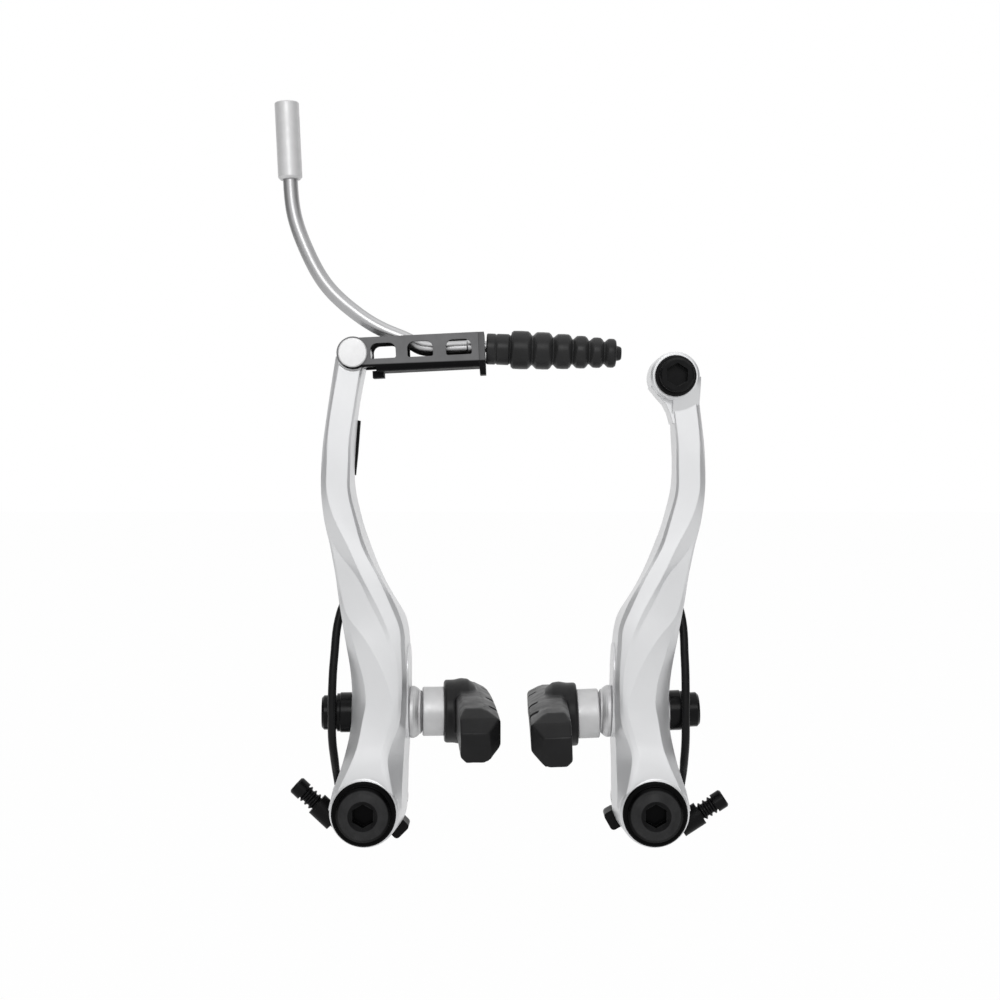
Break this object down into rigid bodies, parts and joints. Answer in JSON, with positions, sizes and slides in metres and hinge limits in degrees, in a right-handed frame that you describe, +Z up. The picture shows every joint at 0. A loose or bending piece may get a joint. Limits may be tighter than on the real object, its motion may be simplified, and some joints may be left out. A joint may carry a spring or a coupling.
{
  "type": "v brake",
  "caption": "Linear-pull bicycle rim brake: tall sprung silver arms with brake pads, a pivoting link, a bent cable guide tube and a rubber bellows boot.",
  "frame": {"origin": "midway between the two pivot axes, at the rear faces of the pivot bushes", "axes": "+Z up along the arms, +X to the right as seen from the front, +Y rearward, the way the frame's posts leave"},
  "size_m": [0.1146, 0.069, 0.1857],
  "materials": {
    "silver_paint": "satin",
    "aluminium": "satin",
    "steel": "satin",
    "dark_steel": "satin",
    "black_steel": "satin",
    "grey_link": "satin",
    "polished_steel": "polished",
    "black_plastic": "matte",
    "liner_plastic": "satin",
    "pad_rubber": "matte",
    "boot_rubber": "satin"
  },
  "bodies": {
    "frame_side": {"left_pivot_bush": "aluminium", "left_mounting_bolt": "black_steel", "left_spring_case": "black_plastic", "right_pivot_bush": "aluminium", "right_mounting_bolt": "black_steel", "right_spring_case": "black_plastic"},
    "left_arm_set": {"left_arm": "silver_paint", "left_spring_hook_pin": "steel", "left_return_spring": "black_steel", "arm_edge_strip": "black_plastic", "left_shoe_stud": "steel", "left_brake_pad": "pad_rubber", "left_inner_dome_washer": "steel", "left_outer_dome_washer": "dark_steel", "left_shoe_spacer": "aluminium", "left_shoe_cup_washer": "black_steel", "left_shoe_nut": "black_steel"},
    "right_arm_set": {"right_arm": "silver_paint", "right_spring_hook_pin": "steel", "right_return_spring": "black_steel", "anchor_bolt": "black_steel", "anchor_washer": "black_steel", "right_shoe_stud": "steel", "right_brake_pad": "pad_rubber", "right_inner_dome_washer": "steel", "right_outer_dome_washer": "dark_steel", "right_shoe_spacer": "aluminium", "right_shoe_cup_washer": "black_steel", "right_shoe_nut": "black_steel"},
    "link": {"lever_link": "grey_link", "link_rivet": "aluminium"},
    "noodle": {"noodle_tube": "polished_steel", "noodle_ferrule": "aluminium", "noodle_liner": "liner_plastic", "noodle_boot": "boot_rubber"},
    "left_screw": {"left_tension_screw": "black_steel"},
    "right_screw": {"right_tension_screw": "black_steel"}
  },
  "joints": [
    {"name": "left_arm_pivot", "type": "hinge", "parent": "frame_side", "child": "left_arm_set", "pos_m": [-0.03555, 0, 0], "axis": [0, 1, 0], "range_deg": [-25, 1.5], "stiffness_Nm_per_rad": 0.5, "deforming": ["left_return_spring"]},
    {"name": "right_arm_pivot", "type": "hinge", "parent": "frame_side", "child": "right_arm_set", "pos_m": [0.03555, 0, 0], "axis": [0, -1, 0], "range_deg": [-25, 1.5], "stiffness_Nm_per_rad": 0.5, "deforming": ["right_return_spring"]},
    {"name": "link_pivot", "type": "hinge", "parent": "left_arm_set", "child": "link", "pos_m": [-0.03845, -0.0155, 0.1127], "axis": [0, -1, 0], "range_deg": [0, 70]},
    {"name": "noodle_swivel", "type": "hinge", "parent": "link", "child": "noodle", "pos_m": [-0.0085, -0.0155, 0.11446], "axis": [0.9988, 0, 0.0489], "range_deg": [-20, 20]},
    {"name": "left_screw_turn", "type": "hinge", "parent": "frame_side", "child": "left_screw", "pos_m": [-0.04278, -0.0047, -0.00775], "axis": [-0.7314, 0, 0.682], "range_deg": [-360, 360]},
    {"name": "right_screw_turn", "type": "hinge", "parent": "frame_side", "child": "right_screw", "pos_m": [0.04132, -0.0047, -0.00889], "axis": [0.8387, 0, 0.5446], "range_deg": [-360, 360]}
  ]
}
